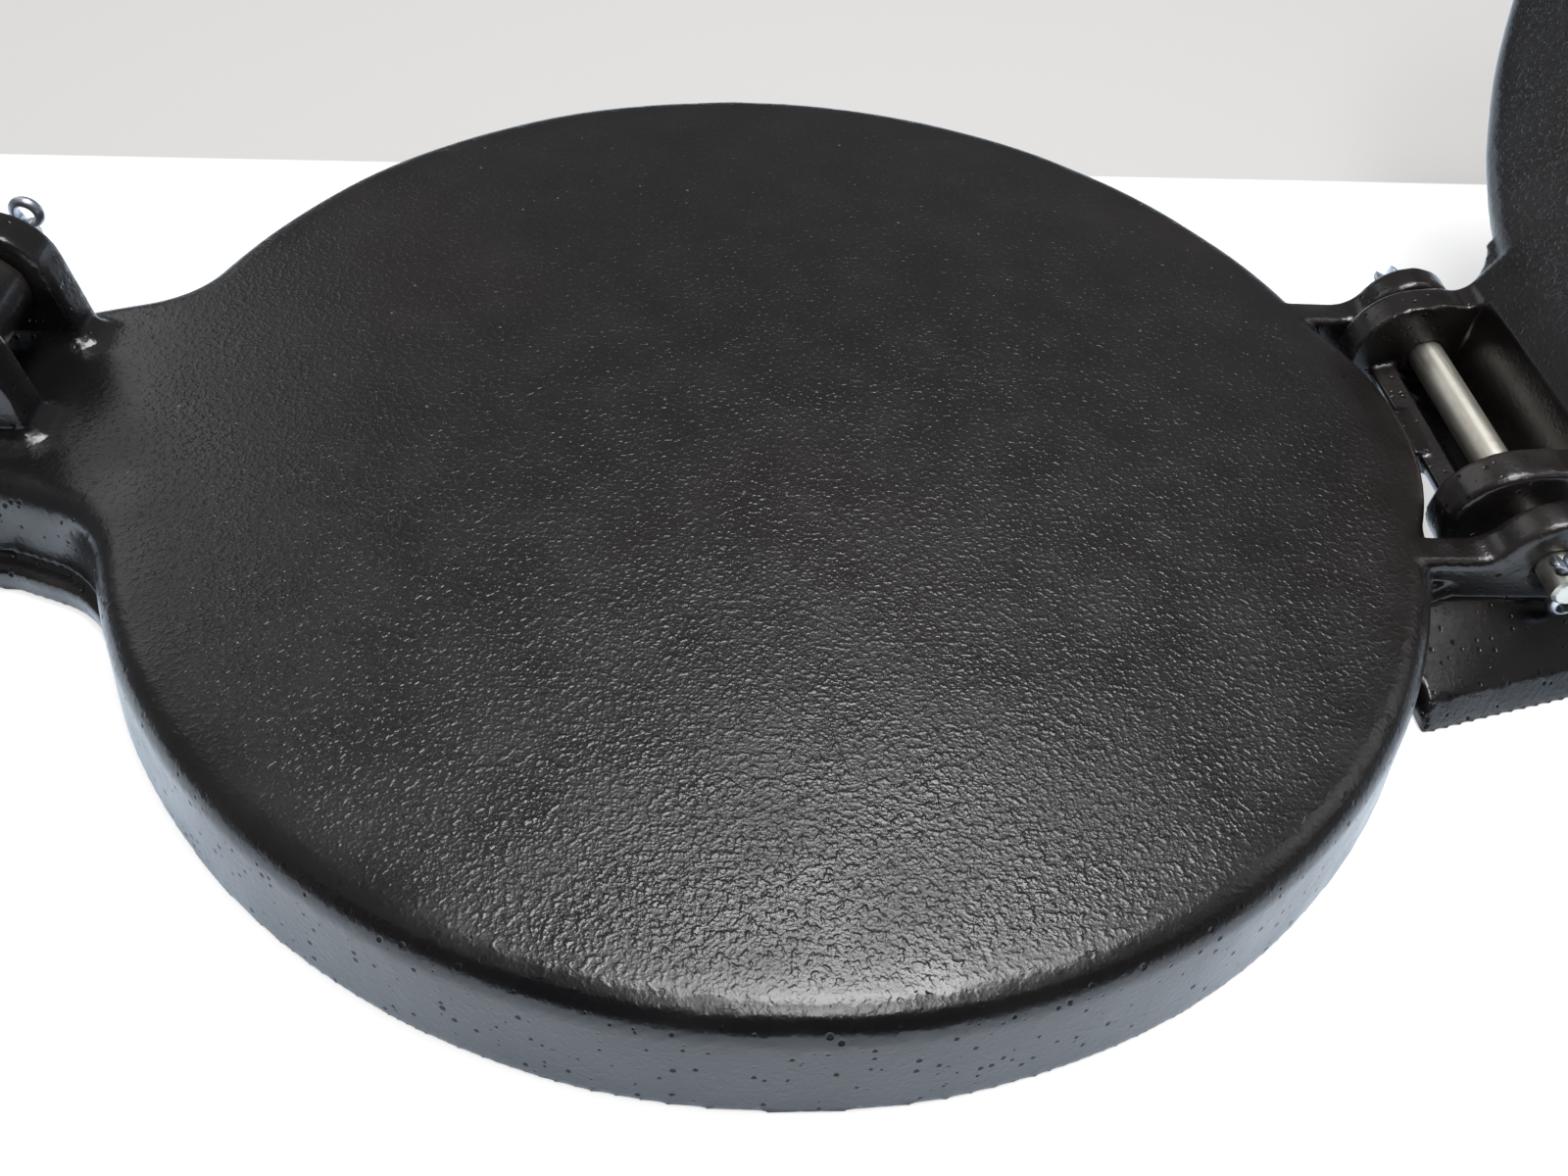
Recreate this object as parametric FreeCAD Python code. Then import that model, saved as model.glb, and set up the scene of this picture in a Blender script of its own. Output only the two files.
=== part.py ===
"""Cast iron tortilla press: a round base plate, a round press plate hinged on it, and a lever.

Millimetres, +Z up. The origin is the centre of the base plate's pressing face, +X points at the hinge,
-X at the lever's fork. The press is modelled open, with its lever laid back, away from the plates.
"""
import FreeCAD, Part
import os
from math import acos, atan2, cos, degrees, hypot, pi, radians, sin, sqrt

Vector = FreeCAD.Vector

# Round plates
DISC_RADIUS = 127.0            # both plates, at the edge of the pressing face
BASE_HEIGHT = 21.0             # pressing face above the table
FOOT_FLARE = 3.5               # how much further out the base plate's wall stands at the table
DECK = 7.0                     # base plate's deck under the pressing face
SKIRT = 6.0                    # base plate's wall near the top
EDGE_ROUND = 5.5               # rounded edge of a pressing face
DECK_FILLET = 5.0              # inside corner between deck and wall
PRESS_THICK = 9.0              # press plate at its rim
DOME_RISE = 3.0                # how much thicker the press plate is in the middle
DOME_RIM = 11.0                # flat rim outside the dome
DOME_RADIUS = DISC_RADIUS - DOME_RIM
BACK_ROUND = 2.5               # rounded edge on the press plate's back
FACE_GAP = 0.4                 # between the two pressing faces when shut

# Hinge, on the +X side
HINGE_OUT = 16.6               # pin's axis from the disc's edge, at the height of the pressing face
HINGE_X = DISC_RADIUS + HINGE_OUT
HINGE_PIN_RADIUS = 3.5
PIN_FIT = 0.08                 # radial clearance of a pin in its holes
OPEN_ANGLE = 114.0             # how far the press plate opens, in degrees
LUG_RADIUS = 10.3              # base plate's hinge lugs
LUG_INNER = 33.5               # inner face of a hinge lug from the centre plane
LUG_THICK = 7.5
LUG_FOOT_RADIUS = 6.0          # hollow curve where a lug rises from the pressing face
LIP_ROUND = 1.4                # rounded edges of lugs, cheeks and hinge block
ARM_OUT = 21.4                 # end of the arms that carry the hinge lugs, beyond the pin's axis
ARM_REACH = HINGE_X + ARM_OUT
ARM_ROOT = 9.5                 # where the arms start, inside the disc's edge
ARM_ROOT_X = DISC_RADIUS - ARM_ROOT
ARM_END_HEIGHT = 8.0           # arm's end above the table
SHOULDER_DROP = 9.5            # top of an arm's sloping shoulder, below the pressing face
SHOULDER_LOW = 15.0            # bottom of the slope
SHOULDER_ROOT_Y = 61.5         # outside of the shoulder beside the wall
SHOULDER_END_Y = 49.5          # outside of the shoulder at the arm's end
ARM_FLARE = 3.5                # how much further out the band below the shoulder stands at the table
SILL_BACK = 13.0               # middle of the sill between the lugs, from the pin's axis
SILL_X = HINGE_X - SILL_BACK
SILL_DROP = 0.2                # top of the sill below the pressing face
SILL_ROUND = 2.5               # rounded top edge of the sill
SILL_BOW = 62.5                # radius of the sill's bow in plan
GUSSET_RADIUS = 12.0           # hollow curve between the wall and an arm

# Press plate's hinge block
KNUCKLE_RADIUS = 12.5
KNUCKLE_HALF = 30.0            # half the block's width
KNUCKLE_FOOT_RADIUS = 4.0      # hollow curve from the plate's face into the block
HEEL_REACH = 4.0               # how far the ears' heels stand out from the round block
HEEL_ANGLE = 59.0              # heels' direction from the pin, below level, when shut
KNUCKLE_NOTCH_HALF = 22.0      # half the width of the notch that shows the pin
NOTCH_RADIUS = 7.0             # hollow round the pin, inside the notch
WALL_RADIUS = 11.7             # outside of the wall that curls round the pin between the ears
NOTCH_EDGE = 16.0              # notch's straight edge on the pressing face, from the pin
HOOK_ANGLE = 47.0              # where the block's outer wall ends, below level, in degrees
BLOCK_ROOT = 34.0              # ramp on the plate's back, length from the pin
BLOCK_FLAT = 16.0              # where the ramp ends, from the pin
NECK_RADIUS = 9.0              # hollow curve between the block and the plate's rim
STOP_NUB_HALF = 7.0
STOP_NUB_DROP = 6.0            # height of the nub's face
STOP_GAP = 0.3                 # nub to sill when the plate is fully open

# Lever's fork, on the -X side
FORK_OUT = 23.0                # lever pin's axis from the disc's edge
FORK_X = DISC_RADIUS + FORK_OUT
FORK_SHIFT = 3.5               # fork and lever stand this far to the back of the centre plane
FORK_Z = 14.5                  # lever pin's axis above the pressing face
LEVER_PIN_RADIUS = 3.0
FORK_RADIUS = 10.5
FORK_INNER = 9.5               # inner face of a fork cheek from the lever's middle
FORK_THICK = 9.0
FORK_FOOT_HALF = 12.0          # foot of a cheek, from the pin's axis to the tab's end
FORK_FOOT_IN = 12.2            # foot of a cheek, from the pin's axis towards the disc
FORK_COVE = 6.0                # hollow curve round the foot of a cheek, but not beside the tab's edge
TAB_SIDE_X = DISC_RADIUS       # tab's side: start of the slanting stretch
TAB_SIDE_Y = 32.0
TAB_WAIST = 8.0                # end of the slanting stretch, before the lever pin's axis
TAB_WAIST_X = FORK_X - TAB_WAIST
TAB_WAIST_Y = 26.5
TAB_OUT = 14.0                 # end of the tab beyond the lever pin's axis
TAB_END_X = FORK_X + TAB_OUT
TAB_END_Y = 24.0
TAB_CORNER = 7.0
TAB_BLEND = 20.0               # hollow curve between the tab and the plate's wall
TAB_WALL = 6.0
TAB_POCKET = 10.0              # how far short of the lever pin's axis the hollow under the tab ends
TAB_POCKET_X = FORK_X - TAB_POCKET
FLANGE_OUT = 3.5               # foot flange round the tab, beyond the tab's foot
FLANGE_HEIGHT = 5.5
FLANGE_ROUND = 1.5

# Tongue that the lever presses on
TONGUE_BACK = 25.0             # axis of the rounded bump, from the lever pin's axis
TONGUE_X = FORK_X - TONGUE_BACK
TONGUE_RADIUS = 6.0
TONGUE_HALF = 13.0
TONGUE_ROOT = 12.0             # where the tongue starts, inside the disc's edge
TONGUE_ROOT_X = DISC_RADIUS - TONGUE_ROOT

# Lever
LEVER_LENGTH = 262.0
LEVER_HUB_RADIUS = 7.5
LEVER_HUB_HALF = 8.8
LEVER_WIDTH = 10.4             # half the grip's width where it is widest
LEVER_DEPTH = 6.6              # half its depth there
LEVER_CORNER = 4.6             # rounded corner of its section there
LEVER_SHUT_TILT = 10.0         # slope of the lever over the shut plates, in degrees
LEVER_REST_TILT = 6.6          # droop of the lever when it is laid back, in degrees
LEVER_ROOT_DEPTH = 5.5         # half depth beside the hub
LEVER_GAP = 0.5                # lever to tongue when shut
HANG_HOLE_RADIUS = 4.0
HANG_HOLE_INSET = 15.0         # from the lever's end

# Pins and split pins
HINGE_PIN_STICKOUT = 7.0       # hinge pin beyond the face of its lug
HINGE_SPLIT_SEAT = 3.6         # split pin's axis from the face of the lug
LEVER_PIN_STICKOUT = 9.5       # lever pin beyond the face of its cheek
LEVER_SPLIT_SEAT = 6.2         # split pin's axis from the face of the cheek
PIN_CHAMFER = 0.6
SPLIT_WIRE_RADIUS = 0.75
SPLIT_LEG_OFFSET = 0.8         # leg's axis from the split pin's axis
SPLIT_HOLE_RADIUS = 1.75
SPLIT_EYE_RADIUS = 2.7
SPLIT_THROAT_RADIUS = 1.5
SPLIT_BEND_RADIUS = 2.0
SPLIT_BEND_ANGLE = 42.0
SPLIT_TIP = 1.5                # straight tip past the bend
SPLIT_CLEAR = 0.3              # throat of the eye above the pin's surface
SPLIT_LEAN_FORK = 28.0         # lean of the lever pin's split pins, in degrees
SPLIT_LEAN_HINGE = 152.0       # lean of the hinge pin's split pins, whose eyes hang down, in degrees

CUT_OVERRUN = 5.0              # how far a cutting solid passes the surface it opens
SINK = 1.0                     # how far an added block reaches into what carries it
BLEND_SINK = 0.1               # how far a hollow corner curve dips into the wall it meets

TABLE_Z = -BASE_HEIGHT
FOOT_RADIUS = DISC_RADIUS + FOOT_FLARE
LUG_OUTER = LUG_INNER + LUG_THICK
FORK_OUTER = FORK_INNER + FORK_THICK
Y_AXIS = Vector(0, 1, 0)
Z_AXIS = Vector(0, 0, 1)
HINGE_AXIS = Vector(HINGE_X, 0, 0)
FORK_AXIS = Vector(-FORK_X, FORK_SHIFT, FORK_Z)


def rod(radius, centre, half):
    """Cylinder along Y, as long on both sides of its centre."""
    return Part.makeCylinder(radius, 2 * half, centre - Y_AXIS * half, Y_AXIS)


def line(a, b):
    return Part.LineSegment(a, b).toShape()


def arc(a, through, b):
    return Part.Arc(a, through, b).toShape()


def polygon(points):
    """Closed wire of straight runs."""
    return Part.makePolygon(points + [points[0]])


def solid_between(wire, push):
    """Prism of a closed flat wire."""
    return Part.Face(wire).extrude(push)


def mirrored(shape):
    """The same shape on the other side of the centre plane."""
    return shape.mirror(Vector(), Y_AXIS)


def join(first, others):
    """One body out of several, added one after another."""
    for other in others:
        first = first.fuse(other)
    return first.removeSplitter()


def turned(outline):
    """Body of revolution about Z from a half section in the XZ plane, with its seam on the +Y side."""
    body = Part.Face(Part.Wire(outline)).revolve(Vector(), Z_AXIS, degrees(2 * pi))
    body.rotate(Vector(), Z_AXIS, degrees(pi / 2))
    return body


def on_circle(centre, radius, angle):
    """Point of an upright circle in the XZ plane, its angle measured from +X towards +Z."""
    return centre + Vector(radius * cos(angle), 0, radius * sin(angle))


def blend_to_disc(start, direction, radius, disc):
    """Hollow curve between a disc's outline and a straight side, in plan, on the +Y side.

    The side starts at `start` and runs along the unit vector `direction`, away from the disc of radius
    `disc`. Returns the curve's end on the disc, a point between, and its end on the side.
    """
    left = Vector(-direction.y, direction.x, 0)
    outward = left if left.y > 0 else -left
    base = start + outward * radius
    along = base.dot(direction)
    reach = disc + radius
    shift = -along + sqrt(along * along - base.dot(base) + reach * reach)
    centre = base + direction * shift
    on_disc = centre * ((reach - radius) / reach)
    on_side = start + direction * shift
    middle = ((on_disc + on_side) * 0.5 - centre).normalize() * radius + centre
    return on_disc, middle, on_side


def base_hollow():
    """Round hollow under the deck."""
    inside = DISC_RADIUS - SKIRT
    bend = 1 - cos(pi / 4)
    under = TABLE_Z - CUT_OVERRUN

    def at(r, z):
        return Vector(r, 0, z)

    outline = [
        line(at(0, under), at(inside, under)),
        line(at(inside, under), at(inside, -DECK - DECK_FILLET)),
        arc(at(inside, -DECK - DECK_FILLET), at(inside - DECK_FILLET * bend, -DECK - DECK_FILLET * bend),
            at(inside - DECK_FILLET, -DECK)),
        line(at(inside - DECK_FILLET, -DECK), at(0, -DECK)),
        line(at(0, -DECK), at(0, under)),
    ]
    return turned(outline)


def tab_outline(grow, disc, whole):
    """Plan of the lever's tab at the -X side, grown sideways by `grow`, on a disc of radius `disc`.

    With `whole` the outline runs on round the disc, otherwise it closes inside the disc.
    """
    start = Vector(-TAB_SIDE_X, TAB_SIDE_Y + grow, 0)
    waist = Vector(-TAB_WAIST_X, TAB_WAIST_Y + grow, 0)
    on_disc, middle, on_side = blend_to_disc(start, (waist - start).normalize(), TAB_BLEND, disc)
    end_x = -TAB_END_X - grow
    end_y = TAB_END_Y + grow
    turn = TAB_CORNER * (1 - cos(pi / 4))
    before = Vector(end_x + TAB_CORNER, end_y, 0)
    corner = Vector(end_x + turn, end_y - turn, 0)
    after = Vector(end_x, end_y - TAB_CORNER, 0)
    inner = on_disc * ((disc - 2 * SKIRT) / disc)

    def flip(p):
        return Vector(p.x, -p.y, p.z)

    half = [arc(on_disc, middle, on_side), line(on_side, waist), line(waist, before),
            arc(before, corner, after)]
    other = [arc(flip(on_side), flip(middle), flip(on_disc)), line(flip(waist), flip(on_side)),
             line(flip(before), flip(waist)), arc(flip(after), flip(corner), flip(before))]
    if whole:
        far = Vector(disc, 0, 0)
        slant = Vector(disc * cos(pi / 3), disc * sin(pi / 3), 0)
        closing = [arc(flip(on_disc), flip(slant), far), arc(far, slant, on_disc)]
    else:
        closing = [line(flip(on_disc), flip(inner)), line(flip(inner), inner), line(inner, on_disc)]
    return Part.Wire(half + [line(after, flip(after))] + other[::-1] + closing)


def rim_edges(shape, z, inside):
    """Edges of a prism that lie at height z and outside the given radius about the origin."""
    found = []
    for edge in shape.Edges:
        box = edge.BoundBox
        flat = abs(box.ZMin - z) < SINK / 100 and abs(box.ZMax - z) < SINK / 100
        middle = edge.valueAt((edge.FirstParameter + edge.LastParameter) / 2)
        if flat and hypot(middle.x, middle.y) > inside:
            found.append(edge)
    return found


def tab_flange():
    """Foot flange round the tab."""
    plan = tab_outline(FOOT_FLARE + FLANGE_OUT, FOOT_RADIUS - BLEND_SINK, False)
    plan.translate(Vector(0, 0, TABLE_Z))
    flange = solid_between(plan, Vector(0, 0, FLANGE_HEIGHT))
    flange_top = TABLE_Z + FLANGE_HEIGHT
    return flange.makeFillet(FLANGE_ROUND, rim_edges(flange, flange_top, FOOT_RADIUS))


def base_body():
    """Disc and lever's tab in one outline that flares to the table, with one rounded edge all round."""
    plan = tab_outline(0, DISC_RADIUS, True)
    foot = tab_outline(FOOT_FLARE, FOOT_RADIUS, True)
    foot.translate(Vector(0, 0, TABLE_Z))
    body = Part.makeLoft([foot, plan], True, True).fuse(tab_flange())
    return body.makeFillet(EDGE_ROUND, rim_edges(body, 0, DISC_RADIUS - SINK))


def tab_pocket():
    """Hollow under the tab, open to the hollow of the disc."""
    root = DISC_RADIUS - 2 * SKIRT
    y_root = TAB_SIDE_Y - TAB_WALL
    y_end = TAB_WAIST_Y - TAB_WALL
    plan = polygon([Vector(-root, y_root, 0), Vector(-TAB_POCKET_X, y_end, 0),
                    Vector(-TAB_POCKET_X, -y_end, 0), Vector(-root, -y_root, 0)])
    plan.translate(Vector(0, 0, TABLE_Z - CUT_OVERRUN))
    return solid_between(plan, Vector(0, 0, BASE_HEIGHT - DECK + CUT_OVERRUN))


def foot_curve(axis, radius, foot_radius, side, level, up):
    """Hollow curve between a level face and a round lug, on the disc's side of the lug.

    `side` is -1 where the disc lies towards -X of the lug and +1 where it lies towards +X. The face is at
    height `level`, and the lug rises from it with `up` 1 or hangs from it with `up` -1.
    Returns the points where the curve leaves the face and touches the lug, and one point between.
    """
    rise = level + up * foot_radius - axis.z
    run = sqrt((radius + foot_radius) ** 2 - rise ** 2)
    centre = Vector(axis.x + side * run, 0, level + up * foot_radius)
    leave = Vector(centre.x, 0, level)
    touch = axis + (centre - axis) * (radius / (radius + foot_radius))
    middle = centre + ((leave + touch) * 0.5 - centre).normalize() * foot_radius
    return leave, middle, touch


def with_lips(plate, low):
    """Upright plate with its outline's edges rounded, on both faces, wherever they rise above `low`."""
    lips = []
    for edge in plate.Edges:
        box = edge.BoundBox
        if box.YLength < LIP_ROUND / 2 and box.ZMax > low:
            lips.append(edge)
    return plate.makeFillet(LIP_ROUND, lips)


def hinge_lug():
    """One arm with its hinge lug, as a plate upright in the XZ plane."""
    leave, middle, touch = foot_curve(HINGE_AXIS, LUG_RADIUS, LUG_FOOT_RADIUS, -1, 0, 1)
    end_top = Vector(ARM_REACH, 0, TABLE_Z + ARM_END_HEIGHT)
    to_end = end_top - HINGE_AXIS
    tangent = atan2(to_end.z, to_end.x) + acos(LUG_RADIUS / to_end.Length)
    last = on_circle(HINGE_AXIS, LUG_RADIUS, tangent)
    top = on_circle(HINGE_AXIS, LUG_RADIUS, pi / 2)
    root_top = Vector(ARM_ROOT_X, 0, 0)
    root_low = Vector(ARM_ROOT_X, 0, TABLE_Z)
    end_low = Vector(ARM_REACH, 0, TABLE_Z)
    outline = Part.Wire([
        line(root_low, root_top), line(root_top, leave), arc(leave, middle, touch), arc(touch, top, last),
        line(last, end_top), line(end_top, end_low), line(end_low, root_low)])
    outline.translate(Y_AXIS * LUG_INNER)
    return with_lips(solid_between(outline, Y_AXIS * LUG_THICK), TABLE_Z + ARM_END_HEIGHT / 2)


def shoulder():
    """Sloping outside of an arm and the flared band below it, narrower at its end."""
    inner = LUG_INNER + LUG_THICK / 2

    def section(x, outer):
        return polygon([
            Vector(x, inner, TABLE_Z), Vector(x, outer + ARM_FLARE, TABLE_Z),
            Vector(x, outer, -SHOULDER_LOW), Vector(x, LUG_OUTER, -SHOULDER_DROP),
            Vector(x, inner, -SHOULDER_DROP)])

    return Part.makeLoft([section(ARM_ROOT_X, SHOULDER_ROOT_Y), section(ARM_REACH, SHOULDER_END_Y)],
                         True, True)


def arm_gusset():
    """Hollow corner between the disc's wall and the outside of an arm."""
    start = Vector(ARM_ROOT_X, LUG_OUTER, 0)
    disc = DISC_RADIUS - BLEND_SINK
    on_disc, middle, on_side = blend_to_disc(start, Vector(1, 0, 0), GUSSET_RADIUS, disc)
    inner = Vector(ARM_ROOT_X, LUG_OUTER - LUG_THICK / 2, 0)
    plan = Part.Wire([line(inner, on_disc), arc(on_disc, middle, on_side),
                      line(on_side, Vector(on_side.x, inner.y, 0)),
                      line(Vector(on_side.x, inner.y, 0), inner)])
    plan.translate(Vector(0, 0, TABLE_Z))
    return solid_between(plan, Vector(0, 0, BASE_HEIGHT - EDGE_ROUND))


def cheek_side(axis, reach, side):
    """Straight side of a cheek: its foot on the tab and the point where it touches the cheek's top."""
    foot = Vector(axis.x + side * reach, 0, 0)
    to_foot = foot - axis
    spread = acos(FORK_RADIUS / to_foot.Length)
    touch = on_circle(axis, FORK_RADIUS, atan2(to_foot.z, to_foot.x) + side * spread)
    return foot, touch


def cheek_cove(foot, touch, outer_spread):
    """Hollow curve round the foot of a cheek, in three flats, that runs out towards the tab's end."""
    lean = (foot.x - touch.x) / touch.z
    far_x = foot.x - FORK_FOOT_IN - FORK_FOOT_HALF / 2
    outer = FORK_INNER + FORK_THICK

    def section(height, share):
        inside = share * FORK_COVE - SINK
        outside = share * outer_spread - SINK
        near_x = foot.x - lean * max(height, 0) + inside
        cut_in = LIP_ROUND + max(inside, 0) / 2
        cut_out = LIP_ROUND + max(outside, 0) / 2
        y_in = FORK_INNER - inside
        y_out = outer + outside
        return polygon([
            Vector(far_x, FORK_INNER + SINK, height), Vector(far_x + FORK_COVE, y_in, height),
            Vector(near_x - cut_in, y_in, height), Vector(near_x, y_in + cut_in, height),
            Vector(near_x, y_out - cut_out, height), Vector(near_x - cut_out, y_out, height),
            Vector(far_x + FORK_COVE, y_out, height), Vector(far_x, outer - SINK, height)])

    low = 1 - cos(pi / 6)
    rows = [(-EDGE_ROUND / 2, 1), (0, 1), (low * FORK_COVE, sin(pi / 6)), (FORK_COVE / 2, low),
            (FORK_COVE, 0)]
    return Part.makeLoft([section(height, share) for height, share in rows], True, True)


def fork_cheek(outer_spread):
    """One cheek of the fork, upright in the XZ plane, beside the centre plane."""
    axis = FORK_AXIS - Y_AXIS * FORK_SHIFT
    near, first = cheek_side(axis, FORK_FOOT_IN, 1)
    far, last = cheek_side(axis, FORK_FOOT_HALF, -1)
    top = on_circle(axis, FORK_RADIUS, pi / 2)
    sunk = Vector(0, 0, -EDGE_ROUND)
    outline = Part.Wire([
        line(near + sunk, near), line(near, first), arc(first, top, last), line(last, far),
        line(far, far + sunk), line(far + sunk, near + sunk)])
    outline.translate(Y_AXIS * FORK_INNER)
    plate = with_lips(solid_between(outline, Y_AXIS * FORK_THICK), 0)
    return plate.fuse(cheek_cove(near, first, outer_spread))


def sill():
    """Wall between the hinge lugs, a little proud of the disc, that the open press plate leans on."""
    half = LUG_INNER + LUG_THICK / 2
    run = SILL_X - SILL_BOW + sqrt(SILL_BOW ** 2 - half ** 2)
    root = DISC_RADIUS - 2 * SKIRT
    plan = Part.Wire([
        arc(Vector(run, -half, 0), Vector(SILL_X, 0, 0), Vector(run, half, 0)),
        line(Vector(run, half, 0), Vector(root, half, 0)), line(Vector(root, half, 0), Vector(root, -half, 0)),
        line(Vector(root, -half, 0), Vector(run, -half, 0))])
    plan.translate(Vector(0, 0, TABLE_Z))
    body = solid_between(plan, Vector(0, 0, BASE_HEIGHT - SILL_DROP))
    return body.makeFillet(SILL_ROUND, rim_edges(body, -SILL_DROP, DISC_RADIUS + SINK))


def base_plate():
    """The lower casting: pressing face, wall, fork and hinge arms in one piece."""
    sides = [hinge_lug(), shoulder(), arm_gusset()]
    cheeks = [fork_cheek(0), mirrored(fork_cheek(FORK_COVE))]
    for cheek in cheeks:
        cheek.translate(Y_AXIS * FORK_SHIFT)
    body = join(base_body(), [sill()] + sides + [mirrored(s) for s in sides] + cheeks)
    body = body.cut(base_hollow()).cut(tab_pocket())
    hinge_hole = rod(HINGE_PIN_RADIUS + PIN_FIT, HINGE_AXIS, LUG_OUTER + CUT_OVERRUN)
    fork_hole = rod(LEVER_PIN_RADIUS + PIN_FIT, FORK_AXIS, FORK_OUTER + CUT_OVERRUN)
    return body.cut([hinge_hole, fork_hole]).removeSplitter()


def press_disc():
    """Round press plate, shut: flat face down, low dome on its back."""
    low = FACE_GAP
    top = FACE_GAP + PRESS_THICK
    bend = 1 - cos(pi / 4)
    half_rise = DOME_RISE * (1 - (1 / 2) ** 2)

    def at(r, z):
        return Vector(r, 0, z)

    outline = [
        line(at(0, low), at(DISC_RADIUS - EDGE_ROUND, low)),
        arc(at(DISC_RADIUS - EDGE_ROUND, low), at(DISC_RADIUS - EDGE_ROUND * bend, low + EDGE_ROUND * bend),
            at(DISC_RADIUS, low + EDGE_ROUND)),
        line(at(DISC_RADIUS, low + EDGE_ROUND), at(DISC_RADIUS, top - BACK_ROUND)),
        arc(at(DISC_RADIUS, top - BACK_ROUND), at(DISC_RADIUS - BACK_ROUND * bend, top - BACK_ROUND * bend),
            at(DISC_RADIUS - BACK_ROUND, top)),
        line(at(DISC_RADIUS - BACK_ROUND, top), at(DOME_RADIUS, top)),
        arc(at(DOME_RADIUS, top), at(DOME_RADIUS / 2, top + half_rise), at(0, top + DOME_RISE)),
        line(at(0, top + DOME_RISE), at(0, low)),
    ]
    return turned(outline)


def knuckle():
    """Hinge block of the press plate, round the pin on all sides, with a heel."""
    leave, middle, touch = foot_curve(HINGE_AXIS, KNUCKLE_RADIUS, KNUCKLE_FOOT_RADIUS, -1, FACE_GAP, -1)
    root = HINGE_X - BLOCK_ROOT
    low = Vector(root, 0, FACE_GAP)
    high = Vector(root, 0, FACE_GAP + PRESS_THICK)
    flat = Vector(HINGE_X - BLOCK_FLAT, 0, KNUCKLE_RADIUS)
    top = on_circle(HINGE_AXIS, KNUCKLE_RADIUS, pi / 2)
    heel_way = -radians(HEEL_ANGLE)
    heel = on_circle(HINGE_AXIS, HEEL_REACH, heel_way)
    outer_way = heel_way + pi / 2
    inner_way = heel_way - pi / 2
    touch_way = atan2(touch.z, touch.x - HINGE_X)
    outer, inner = (on_circle(HINGE_AXIS, KNUCKLE_RADIUS, way) for way in (outer_way, inner_way))
    heel_outer, heel_tip, heel_inner = (on_circle(heel, KNUCKLE_RADIUS, way)
                                        for way in (outer_way, heel_way, inner_way))
    far_side = on_circle(HINGE_AXIS, KNUCKLE_RADIUS, (pi / 2 + outer_way) / 2)
    near_side = on_circle(HINGE_AXIS, KNUCKLE_RADIUS, (inner_way + touch_way) / 2)
    outline = Part.Wire([
        line(low, high), line(high, flat), line(flat, top), arc(top, far_side, outer),
        line(outer, heel_outer), arc(heel_outer, heel_tip, heel_inner), line(heel_inner, inner),
        arc(inner, near_side, touch), arc(touch, middle, leave), line(leave, low)])
    outline.translate(-Y_AXIS * KNUCKLE_HALF)
    return with_lips(solid_between(outline, Y_AXIS * 2 * KNUCKLE_HALF), -2 * KNUCKLE_RADIUS)


def neck_gusset():
    """Hollow corner between the press plate's rim and the side of the hinge block."""
    start = Vector(HINGE_X - BLOCK_ROOT, KNUCKLE_HALF, 0)
    disc = DISC_RADIUS - BLEND_SINK
    on_disc, middle, on_side = blend_to_disc(start, Vector(1, 0, 0), NECK_RADIUS, disc)
    inner = Vector(start.x, KNUCKLE_HALF - SINK, 0)
    plan = Part.Wire([line(inner, on_disc), arc(on_disc, middle, on_side),
                      line(on_side, Vector(on_side.x, inner.y, 0)),
                      line(Vector(on_side.x, inner.y, 0), inner)])
    plan.translate(Vector(0, 0, FACE_GAP + SINK))
    return solid_between(plan, Vector(0, 0, PRESS_THICK - 2 * SINK))


def notch():
    """What the notch takes out: the pin's hollow, and all on the pressing side of it."""
    edge = Vector(-NOTCH_EDGE, 0, FACE_GAP)
    tangent = atan2(edge.z, edge.x) - acos(NOTCH_RADIUS / edge.Length)
    touch = on_circle(Vector(), NOTCH_RADIUS, tangent)
    top = on_circle(Vector(), NOTCH_RADIUS, pi / 4)
    hook = -radians(HOOK_ANGLE)
    hook_in = on_circle(Vector(), NOTCH_RADIUS, hook)
    hook_out = on_circle(Vector(), KNUCKLE_RADIUS + CUT_OVERRUN, hook)
    under = -KNUCKLE_RADIUS - HEEL_REACH - CUT_OVERRUN
    outline = Part.Wire([
        line(edge, touch), arc(touch, top, hook_in), line(hook_in, hook_out),
        line(hook_out, Vector(hook_out.x, 0, under)),
        line(Vector(hook_out.x, 0, under), Vector(edge.x, 0, under)),
        line(Vector(edge.x, 0, under), edge)])
    outline.translate(HINGE_AXIS - Y_AXIS * KNUCKLE_NOTCH_HALF)
    return solid_between(outline, Y_AXIS * 2 * KNUCKLE_NOTCH_HALF)


def wall_recess():
    """What sets the curled wall back from the ears, on its far side."""
    inner = KNUCKLE_RADIUS + HEEL_REACH + CUT_OVERRUN
    block = Part.makeBox(inner, 2 * KNUCKLE_NOTCH_HALF, 2 * inner,
                         Vector(HINGE_X, -KNUCKLE_NOTCH_HALF, -inner))
    return block.cut(rod(WALL_RADIUS, HINGE_AXIS, KNUCKLE_HALF))


def stop_nub():
    """Nub on the hinge block that meets the base plate's sill when the press is fully open."""
    face_x = SILL_X + STOP_GAP
    root_x = HINGE_X - NOTCH_RADIUS - LIP_ROUND / 2
    top_z = -STOP_NUB_DROP / 2
    nub = Part.makeBox(root_x - face_x, 2 * STOP_NUB_HALF, STOP_NUB_DROP,
                       Vector(face_x, -STOP_NUB_HALF, top_z - STOP_NUB_DROP))
    nub.rotate(HINGE_AXIS, Y_AXIS, -OPEN_ANGLE)
    return nub


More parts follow.
